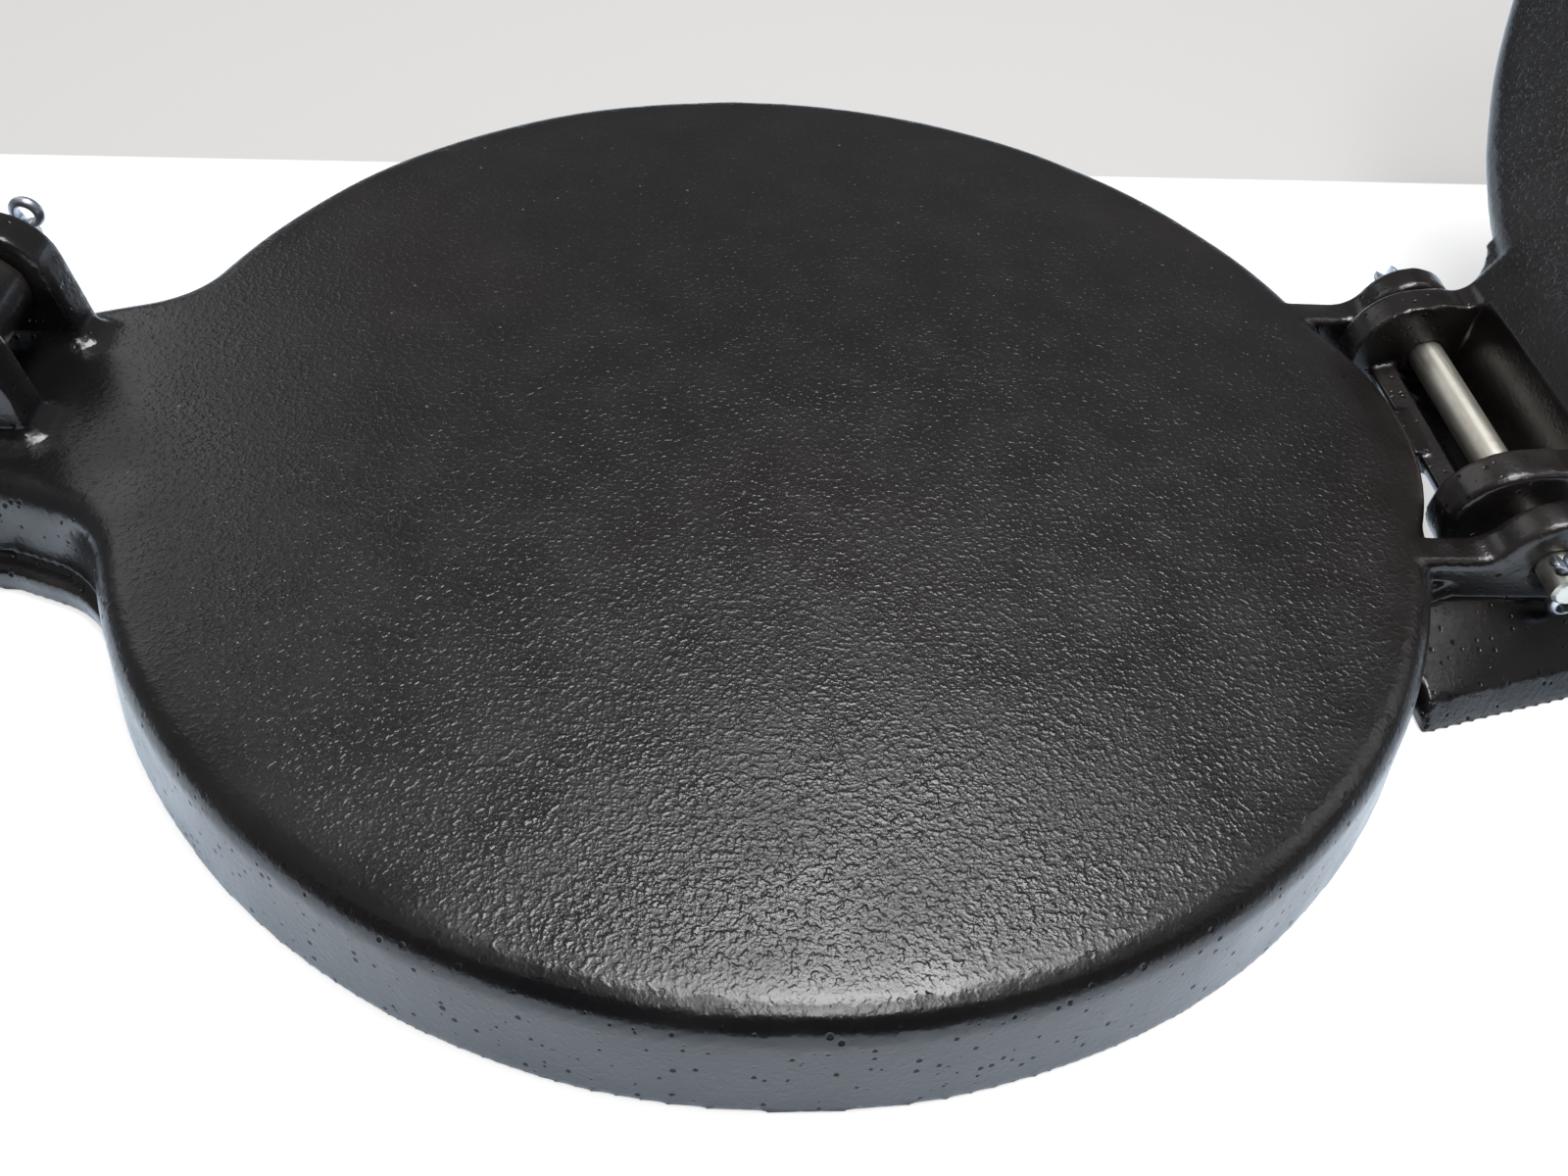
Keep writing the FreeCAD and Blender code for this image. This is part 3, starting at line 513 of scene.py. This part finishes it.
# %% [markdown]
# The press plate stands open at 114 degrees, so its points are first turned back about the hinge to where
# they lie when the press is shut. There its face is level too, and a like rule finds it.

# %% Press plate
OPEN_ANGLE = math.radians(114)
PRESS_CELL = 0.00062
DISC_EDGE = (0.126, 0.129)     # radii between which the pressing face ends
DISC_FACE = (0.0010, 0.0034)   # and heights over it when shut


def as_shut(points):
    """Turned back about the hinge: x' = x cos a - z sin a, z' = x sin a + z cos a."""
    x = points[:, 0] - HINGE_X
    z = points[:, 2]
    c, s = math.cos(OPEN_ANGLE), math.sin(OPEN_ANGLE)
    return np.stack([x * c - z * s + HINGE_X, points[:, 1], x * s + z * c], axis=1)


def press_marks(points):
    """Pressing face inside the disc's edge, and no foot."""
    shut = as_shut(points)
    away = np.hypot(shut[:, 0], shut[:, 1])
    inside = calmer_rim(away) * (1 - ramp(away, *DISC_EDGE))
    return (1 - ramp(shut[:, 2], *DISC_FACE)) * inside, np.zeros(len(points))


press_casting = casting("press_casting", "press_plate", "press", PRESS_CELL, [hinge_hole], press_marks)

# %% [markdown]
# The lever is a casting as well. It lies back from the fork, drooping to the table, where the photograph
# doesn't show it, and swings over the shut plates to press them together.

# %% Lever
LEVER_CELL = 0.0008


def no_marks(points):
    """The lever has neither pressing face nor foot."""
    return np.zeros(len(points)), np.zeros(len(points))


lever_casting = casting("lever_casting", "lever", "handle", LEVER_CELL, [fork_hole], no_marks)

# %% [markdown]
# A split pin is one length of half-round wire, folded flat to flat round an eye. Its two ends are bent
# apart once it is through the pin. The wire is described the way it is bent: run so far, turn so much.
# The heading is then known along the wire, and adding up small steps gives its path.

# %% Path of the wire
WIRE = 0.00135                 # radius of the half-round wire
EYE = 0.0019                   # inside radius of the eye
THROAT = 0.0018                # curve from the eye into the legs
LEG_GAP = 0.00006              # each leg's flat from the middle
PIN_CLEAR = 0.0003             # throat above the pin's surface
LEG_OVER = 0.00105             # straight part of a leg, beyond the pin's thickness
BEND = 0.0022                  # radius of the bend that spreads a leg
SPREAD = math.radians(42)
TIP = 0.0015                   # straight part beyond the bend
SAMPLES = 150


def half_path(pin_radius):
    """Flat of one leg, from the eye's top to the tip, as x and z.

    The heading is interpolated along the wire, and x, z are the running sums of its cosine and sine.
    """
    around = math.pi - math.asin((THROAT + LEG_GAP) / (EYE + THROAT))
    runs = np.array([(EYE * around, -around), (THROAT * (around - math.pi / 2), around - math.pi / 2),
                     (2 * pin_radius + LEG_OVER, 0.0), (BEND * SPREAD, SPREAD), (TIP, 0.0)])
    ends = np.concatenate([[0.0], np.cumsum(runs[:, 0])])
    along = np.linspace(0, ends[-1], SAMPLES)
    heading = np.interp(along, ends, np.concatenate([[0.0], np.cumsum(runs[:, 1])]))
    middle = 0.5 * (heading[1:] + heading[:-1])
    step = along[1]
    x = np.concatenate([[0.0], np.cumsum(np.cos(middle)) * step])
    z = np.concatenate([[0.0], np.cumsum(np.sin(middle)) * step])
    return x, z - np.interp(ends[2], along, z) + pin_radius + PIN_CLEAR


wire_z = half_path(LEVER_PIN)[1]
print("eye's top", round(wire_z.max() * 1000, 2), "mm over the pin's axis")
print("leg's tip", round(wire_z.min() * 1000, 2), "mm")

# %% [markdown]
# The half-round profile is carried along that path. Every point of the grid is the path's point, plus the
# outward direction times the profile's depth, plus the pin's direction times its width.

# %% Split pins
HINGE_LEAN = math.radians(152)
FORK_LEAN = math.radians(28)
HINGE_SIDE = 0.0446            # split pins from the middle of their pin
FORK_SIDE = 0.0247
FORK_SHIFT = 0.0035            # the fork stands this far to the back
PROFILE_POINTS = 15
FLAT_DEPTH = -0.03             # the flat's place, in shares of the wire's radius
FLAT_WIDTH = 0.86


def strip_faces(rows, cols):
    """Four-cornered faces of a grid that closes round its columns."""
    i, j = np.meshgrid(np.arange(rows - 1), np.arange(cols), indexing="ij")
    k = (j + 1) % cols
    return np.stack([i * cols + j, (i + 1) * cols + j, (i + 1) * cols + k, i * cols + k], -1).reshape(-1, 4)


def wire_mesh(name, centre, lean, pin_radius):
    """Point = path + out * depth + side * width, leaned about Y and moved to the pin."""
    wire_x, wire_z = half_path(pin_radius)
    path = np.concatenate([np.stack([-wire_x[:0:-1], wire_z[:0:-1]], 1), np.stack([wire_x, wire_z], 1)])
    flow = np.gradient(path, axis=0)
    flow /= np.linalg.norm(flow, axis=1)[:, None]
    turn = np.linspace(-np.pi / 2, np.pi / 2, PROFILE_POINTS)
    depth = WIRE * np.concatenate([np.cos(turn), [FLAT_DEPTH, FLAT_DEPTH]])
    width = WIRE * np.concatenate([np.sin(turn), [FLAT_WIDTH, -FLAT_WIDTH]])
    x = path[:, :1] - flow[:, 1:] * depth
    z = path[:, 1:] + flow[:, :1] * depth
    c, s = math.cos(lean), math.sin(lean)
    y = np.broadcast_to(width, x.shape)
    points = np.stack([x * c + z * s, y, z * c - x * s], -1).reshape(-1, 3) + centre
    rows, cols = x.shape
    caps = [list(range(cols)), list(range((rows - 1) * cols, rows * cols))]
    mesh = bpy.data.meshes.new(name)
    mesh.from_pydata(points, [], strip_faces(rows, cols).tolist() + caps)
    work = bmesh.new()
    work.from_mesh(mesh)
    bmesh.ops.recalc_face_normals(work, faces=work.faces)
    work.to_mesh(mesh)
    work.free()
    mesh.shade_smooth()
    return mesh


def split_pin(name, node_name, body, centre, lean, pin_radius):
    """Bent wire that takes its node's place and turns with its pin."""
    mesh = wire_mesh(name, np.array(centre), lean, pin_radius)
    made = show(bpy.data.objects.new(name, mesh))
    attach(made, body)
    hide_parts(node_name)
    return made


split_pins = [
    split_pin("hinge_wire_front", "hinge_split_pin_front", "hinge_axle",
              (HINGE_X, -HINGE_SIDE, 0.0), HINGE_LEAN, HINGE_PIN),
    split_pin("hinge_wire_back", "hinge_split_pin_back", "hinge_axle",
              (HINGE_X, HINGE_SIDE, 0.0), HINGE_LEAN, HINGE_PIN),
    split_pin("lever_wire_front", "lever_split_pin_front", "lever_axle",
              (FORK_X, FORK_SHIFT - FORK_SIDE, FORK_Z), FORK_LEAN, LEVER_PIN),
    split_pin("lever_wire_back", "lever_split_pin_back", "lever_axle",
              (FORK_X, FORK_SHIFT + FORK_SIDE, FORK_Z), FORK_LEAN, LEVER_PIN),
]
print("split pins of", [len(made.data.polygons) for made in split_pins], "faces")

# %% [markdown]
# Baked oil on iron is nearly black, a little cool in the middle of the plate and brown where it is thin.
# The pressing faces keep the sand's grains, about a millimetre across, and catch the light as thousands
# of small specks; some of them are painted glints, bright dots in the colour. The walls and ears are
# smoother and glossier, with a few open pits.

# %% Colour of seasoned iron
COOL_BLACK = (0.0078, 0.0078, 0.0088)
BROWN_BLACK = (0.0122, 0.0098, 0.0093)
# Paler colour of convex edges: partly wear of the oil, partly a painted highlight for the light on the lips.
EDGE_WEAR_AND_HIGHLIGHT = (0.034, 0.028, 0.026)
# Colour of the bright dots on the pressing faces: painted glints.
PAINTED_GLINT = (0.16, 0.16, 0.17)
FOOT_BROWN = (0.045, 0.030, 0.022)
CLOUDS = 11.0                  # all patterns here are in lumps or dots to the metre
CLOUD_RANGE = (0.42, 0.62)     # heights of a pattern between which it takes effect
SMALL_CLOUDS = 70.0
# How the pale of the edges, painted highlight and wear together, is spread by the small clouds.
EDGE_PALE_RANGE = (0.40, 0.60)
MOST_EDGE_PALE = 0.8
# Scattered dots on the faces, a few of which are painted glints:
GLINT_DOTS = 260.0
GLINT_EDGE = (0.05, 0.10)      # a painted glint's radii, in shares of the distance between dots
CHOSEN = (0.86, 0.90)          # dots with a random number above this are painted glints


def mark(tree, name):
    """The number that each point carries under that name."""
    return add(tree, "Attribute", {"attribute_name": name}).outputs["Fac"]


def cells_of(tree, place, scale):
    """Distance to the nearest of many scattered dots, and a random number for each dot."""
    dots = add(tree, "TexVoronoi", {"feature": "F1"}, Scale=scale, Randomness=1.0)
    tree.links.new(place, dots.inputs["Vector"])
    parts = add(tree, "SeparateColor")
    tree.links.new(dots.outputs["Color"], parts.inputs[0])
    return dots.outputs["Distance"], parts.outputs[0]


def iron_colour(tree, place, face, edge, small_clouds):
    """Clouds of the two blacks, paler on rubbed edges, partly wear and partly a painted highlight, with a
    few painted glints as bright specks on the faces.
    """
    clouds = noise(tree, place, CLOUDS, 3.0)
    colour = blend_colours(tree, between(tree, clouds, *CLOUD_RANGE), COOL_BLACK, BROWN_BLACK)
    # Painted highlight and wear: convex edges paler, broken up by the small clouds.
    pale_edge = calc(tree, "MULTIPLY", edge, between(tree, small_clouds, *EDGE_PALE_RANGE, 0.0, MOST_EDGE_PALE))
    colour = blend_colours(tree, pale_edge, colour, EDGE_WEAR_AND_HIGHLIGHT)
    # Painted glints: a few of the scattered dots, only on the pressing faces, in a bright grey.
    distance, number = cells_of(tree, place, GLINT_DOTS)
    dot = between(tree, distance, *GLINT_EDGE, 1.0, 0.0)
    chosen = calc(tree, "MULTIPLY", between(tree, number, *CHOSEN), face)
    return blend_colours(tree, calc(tree, "MULTIPLY", dot, chosen), colour, PAINTED_GLINT)


print("colours from", COOL_BLACK, "to", EDGE_WEAR_AND_HIGHLIGHT)

# %% [markdown]
# The sand leaves grains on the pressing faces: low hills that stand apart on a flat ground, about a
# millimetre across, with finer grain between. They are the peaks of a cloudy pattern, cut off below its
# middle height. Elsewhere they are fainter. The glossy walls have small open pits, which look dull and dark.

# %% Relief of seasoned iron
GRAINS = 880.0
GRAIN_RANGE = (0.46, 0.74)
FINE_GRAINS = 1700.0
FINE_RANGE = (0.40, 0.70)
FINE_SHARE = 0.34
SWELLS = 300.0
SWELL_SHARE = 0.5
WALL_GRAIN = 0.22              # share of the grain that the walls have
GRAIN_HEIGHT = 0.000075
PITS = 620.0
PIT_FROM = 0.50                # dots with a random number above this are pits
PIT_DEPTH = 0.00010
PIT_LARGEST = 0.42             # radius, in shares of the distance between dots
PIT_SLOPE = 0.16
PITS_END = 0.25                # no pits where the face's mark is above this


def hills(tree, place, scale, low, high):
    """Peaks of a cloudy pattern, round on top and flat between."""
    peak = between(tree, noise(tree, place, scale, 1.0), low, high)
    peak.node.interpolation_type = "SMOOTHSTEP"
    return peak


def iron_relief(tree, place, face, pit):
    """Height = (grains + share of fine grains + share of swells) times the face's share, less the pits."""
    pits = add(tree, "Bump", Strength=1.0, Distance=PIT_DEPTH)
    tree.links.new(calc(tree, "MULTIPLY", pit, -1.0), pits.inputs["Height"])
    height = calc(tree, "ADD", hills(tree, place, GRAINS, *GRAIN_RANGE),
                  calc(tree, "MULTIPLY", hills(tree, place, FINE_GRAINS, *FINE_RANGE), FINE_SHARE))
    swells = noise(tree, place, SWELLS, 1.0)
    height = calc(tree, "ADD", height, calc(tree, "MULTIPLY", swells, SWELL_SHARE))
    height = calc(tree, "MULTIPLY", height, between(tree, face, 0.0, 1.0, WALL_GRAIN, 1.0))
    sand = add(tree, "Bump", Strength=1.0, Distance=GRAIN_HEIGHT)
    tree.links.new(height, sand.inputs["Height"])
    tree.links.new(pits.outputs[0], sand.inputs["Normal"])
    return sand.outputs[0]


def open_pits(tree, place, face):
    """1 in the middle of a pit and 0 outside; half of the scattered dots are pits, none on a face."""
    distance, number = cells_of(tree, place, PITS)
    size = between(tree, number, PIT_FROM, 1.0, 0.0, PIT_LARGEST)
    depth = calc(tree, "DIVIDE", calc(tree, "SUBTRACT", size, distance), PIT_SLOPE)
    shown = between(tree, face, 0.0, PITS_END, 1.0, 0.0)
    return calc(tree, "MULTIPLY", between(tree, depth, 0.0, 1.0), shown)


print("relief ready")

# %% [markdown]
# One material dresses all three castings. It reads the four marks, and has the pits, the relief and the
# gloss work together: dull in the pits and on the foot, wetter in the hollows.

# %% Seasoned iron
WALL_ROUGH = 0.25
FACE_ROUGH = 0.30
ROUGH_WANDER = (-0.05, 0.06)   # with the small clouds
OIL_SHINE = 0.06               # how much smoother oil makes a hollow
SHINE = 0.5
DULL_SHINE = 0.06              # in pits and on the foot
OIL_IOR = 1.6


def seasoned_iron():
    """Colour, roughness, shine and relief of the castings, from the four marks."""
    material, tree, shader = empty_finish("seasoned_iron")
    place = add(tree, "TexCoord").outputs["Object"]
    names = ("pressing_face", "worn_and_highlit_edge", "oily_hollow", "brown_foot_band")
    face, edge, hollow, foot = (mark(tree, name) for name in names)
    small_clouds = noise(tree, place, SMALL_CLOUDS, 3.0)
    pit = open_pits(tree, place, face)
    colour = iron_colour(tree, place, face, edge, small_clouds)
    # A brown, dull band along the lowest edge of the foot.
    colour = blend_colours(tree, foot, colour, FOOT_BROWN)
    tree.links.new(colour, shader.inputs["Base Color"])
    rough = calc(tree, "ADD", between(tree, face, 0.0, 1.0, WALL_ROUGH, FACE_ROUGH),
                 between(tree, small_clouds, 0.3, 0.7, *ROUGH_WANDER))
    rough = calc(tree, "SUBTRACT", rough, calc(tree, "MULTIPLY", hollow, OIL_SHINE))
    tree.links.new(rough, shader.inputs["Roughness"])
    dull = calc(tree, "MAXIMUM", pit, foot)
    tree.links.new(between(tree, dull, 0.0, 1.0, SHINE, DULL_SHINE), shader.inputs["Specular IOR Level"])
    tree.links.new(iron_relief(tree, place, face, pit), shader.inputs["Normal"])
    shader.inputs["IOR"].default_value = OIL_IOR
    return material


iron = seasoned_iron()
for made in (base_casting, press_casting, lever_casting):
    made.data.materials.clear()
    made.data.materials.append(iron)
print("iron's nodes", len(iron.node_tree.nodes))

# %% [markdown]
# The pins are drawn rod, pale and a little warm, with fine lines along their length. The split pins are
# zinc plated, bluish and brighter. Both are metal, whose colour is all in its reflection.

# %% Steel
ROD_PALE = (0.86, 0.83, 0.75)
ROD_DARK = (0.55, 0.51, 0.43)
ROD_ROUGH = 0.45
ROD_LINES = (1100.0, 45.0, 1100.0)   # lines to the metre along X, Y and Z
ZINC_PALE = (0.62, 0.66, 0.72)
ZINC_DARK = (0.36, 0.39, 0.44)
ZINC_ROUGH = 0.36
ZINC_LINES = (500.0, 500.0, 500.0)
SPOTS = 260.0
SCRATCH_DEPTH = 0.00002


def drawn_steel(name, colour, dark, rough, stretch):
    """Metal whose lines run along Y: the pattern is stretched that way by a Mapping node."""
    material, tree, shader = empty_finish(name)
    place = add(tree, "TexCoord").outputs["Object"]
    stretched = add(tree, "Mapping")
    stretched.inputs["Scale"].default_value = stretch
    tree.links.new(place, stretched.inputs["Vector"])
    lines = noise(tree, stretched.outputs[0], 1.0, 3.0, 0.6)
    spots = noise(tree, place, SPOTS, 3.0, 0.6)
    share = calc(tree, "MULTIPLY", between(tree, lines, 0.35, 0.75), between(tree, spots, 0.40, 0.70))
    tree.links.new(blend_colours(tree, share, colour, dark), shader.inputs["Base Color"])
    tree.links.new(between(tree, lines, 0.3, 0.7, rough - 0.06, rough + 0.08), shader.inputs["Roughness"])
    shader.inputs["Metallic"].default_value = 1.0
    bump = add(tree, "Bump", Strength=1.0, Distance=SCRATCH_DEPTH)
    tree.links.new(lines, bump.inputs["Height"])
    tree.links.new(bump.outputs[0], shader.inputs["Normal"])
    return material


rod_steel = drawn_steel("drawn_steel", ROD_PALE, ROD_DARK, ROD_ROUGH, ROD_LINES)
zinc_wire = drawn_steel("zinc_wire", ZINC_PALE, ZINC_DARK, ZINC_ROUGH, ZINC_LINES)
for node_name in ("hinge_pin", "lever_pin"):
    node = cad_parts[node_name]
    node.data.materials.clear()
    node.data.materials.append(rod_steel)
for made in split_pins:
    made.data.materials.append(zinc_wire)
print("steel on two pins and", len(split_pins), "split pins")
